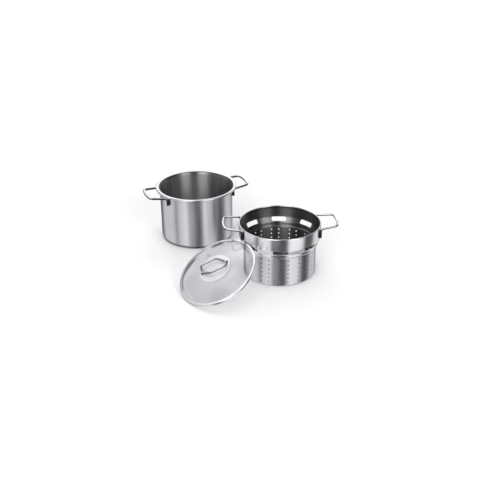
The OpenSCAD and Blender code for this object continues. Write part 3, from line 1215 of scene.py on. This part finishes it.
@dataclass
class Studio:
    """Pale floor, soft light and the camera of the photograph.

    The floor and the clip are in metres, the camera's eye in millimetres, its focal length in pixels of
    the image and its angles in degrees.
    """

    ambient: float = 0.1
    overhead: float = 0.35
    overhead_from: Span = (58.0, 76.0)
    panels: tuple[Panel, ...] = (
        Panel(44, 22, 7, 0.95),
        Panel(-45, 16, 5, 0.95),
        Panel(-101, 30, 5, 0.85),
        Panel(122, 19, 6, 0.82),
        Panel(168, 12, 5, 0.8),
        Panel(182, 30, 8, 1.15, 14, 62),
        Panel(-20, 14, 6, 5.9, 14, 38),
        Panel(38, 14, 6, 5.0, 14, 38),
        Panel(-35, 22, 6, 1.8, 38, 64),
        Panel(35, 22, 6, 0.4, 38, 64),
        Panel(-125, 35, 8, 1.2, 38, 64),
    )
    suns: tuple[Sun, ...] = (
        Sun("soft_above", (0.0, 0.0, 1.0), 0.58, 34.0),
        Sun("soft_right", (0.8, 0.6, 0.9), 0.4, 40.0),
        Sun("soft_left", (-0.707, 0.707, 0.7), 0.12, 40.0),
    )
    floor_r: float = 14.0
    floor_at: Place = (0.15, -0.2, -0.0004)
    floor_seen: float = 0.95
    floor_lit: float = 0.34
    sensor: float = 36.0
    clip: Span = (0.05, 60.0)
    focal: float = 767.42
    image: float = 480.0
    pitch: float = 26.39
    roll: float = -0.63
    eye: Place = (145.16, -2384.7, 1155.6)

    def floor(self) -> None:
        """Lays the floor, which is pale to the eye and darker in reflections."""
        bm = bmesh.new()
        bmesh.ops.create_circle(bm, cap_ends=True, radius=self.floor_r, segments=64,
                                matrix=Matrix.Translation(self.floor_at))
        mesh = bpy.data.meshes.new("floor")
        bm.to_mesh(mesh)
        bm.free()
        made = bpy.data.materials.new("pale_floor")
        made.use_nodes = True
        graph = Graph(made.node_tree)
        seen = graph.node("ShaderNodeLightPath").outputs["Is Camera Ray"]
        bright = graph.node("ShaderNodeBsdfDiffuse", None, {"Color": grey(self.floor_seen)}).outputs[0]
        dim = graph.node("ShaderNodeBsdfDiffuse", None, {"Color": grey(self.floor_lit)}).outputs[0]
        mixed = graph.node("ShaderNodeMixShader", None, {0: seen, 1: dim, 2: bright}).outputs[0]
        graph.node("ShaderNodeOutputMaterial", None, {"Surface": mixed})
        mesh.materials.append(made)
        shape = bpy.data.objects.new("floor", mesh)
        shape.visible_glossy = False
        bpy.context.scene.collection.objects.link(shape)

    def surroundings(self) -> None:
        """Sets the panels round the table and the light above it; the camera sees plain white."""
        world = bpy.data.worlds.new("studio")
        world.use_nodes = True
        bpy.context.scene.world = world
        graph = Graph(world.node_tree)
        x, y, z = graph.split(graph.node("ShaderNodeTexCoord").outputs["Generated"])
        flat = (x * x + y * y + 1e-6).root()
        x, y = x / flat, y / flat
        low, high = self.overhead_from
        above = z.ramp(math.sin(math.radians(low)), math.sin(math.radians(high)))
        total = above * self.overhead + self.ambient
        for panel in self.panels:
            total = total + panel.light(x, y, z)
        seen = Value(graph, graph.node("ShaderNodeLightPath").outputs["Is Camera Ray"])
        shown = total + seen * (1 - total)
        back = graph.node("ShaderNodeBackground", None, {"Color": grey(1.0), "Strength": shown}).outputs[0]
        graph.node("ShaderNodeOutputWorld", None, {"Surface": back})

    def hang(self, sun: Sun) -> None:
        """Hangs a soft light, which shows in no reflection.

        Args:
            sun: The light.
        """
        data = bpy.data.lights.new(sun.name, "SUN")
        data.energy = sun.power
        data.angle = math.radians(sun.spread)
        lamp = bpy.data.objects.new(sun.name, data)
        lamp.rotation_mode = "QUATERNION"
        lamp.rotation_quaternion = (-Vector(sun.place)).to_track_quat("-Z", "Y")
        lamp.location = sun.place
        lamp.visible_glossy = False
        bpy.context.scene.collection.objects.link(lamp)

    def camera(self) -> None:
        """Sets the camera as the photograph was taken."""
        pitch, roll = math.radians(self.pitch), math.radians(self.roll)
        right, up = Vector((1, 0, 0)), Vector((0, math.sin(pitch), math.cos(pitch)))
        ahead = Vector((0, math.cos(pitch), -math.sin(pitch)))
        across = right * math.cos(roll) + up * math.sin(roll)
        above = up * math.cos(roll) - right * math.sin(roll)
        data = bpy.data.cameras.new("camera")
        data.sensor_width = self.sensor
        data.lens = self.focal / self.image * data.sensor_width
        data.clip_start, data.clip_end = self.clip
        camera = bpy.data.objects.new("camera", data)
        turn = Matrix((across, above, -ahead)).transposed()
        camera.matrix_world = Matrix.Translation(Vector(self.eye) * MM) @ turn.to_4x4()
        bpy.context.scene.collection.objects.link(camera)
        bpy.context.scene.camera = camera

    def build(self) -> None:
        """Sets up the whole studio."""
        bpy.context.scene.view_settings.view_transform = "Standard"
        self.camera()
        self.floor()
        self.surroundings()
        for sun in self.suns:
            self.hang(sun)


def main() -> None:
    """Builds the pot, the insert and the lid in their studio."""
    logging.basicConfig(level=logging.INFO, format="%(message)s")
    Studio().build()
    # The handles' undersides carry painted shade.
    wire = PolishedSteel("wire_steel", level=0.86, above=Vector((0, 0, 1)))
    Pot().build(wire)
    insert = Insert()
    insert.build(wire)
    Lid(insert=insert).build()


if __name__ == "__main__":
    main()
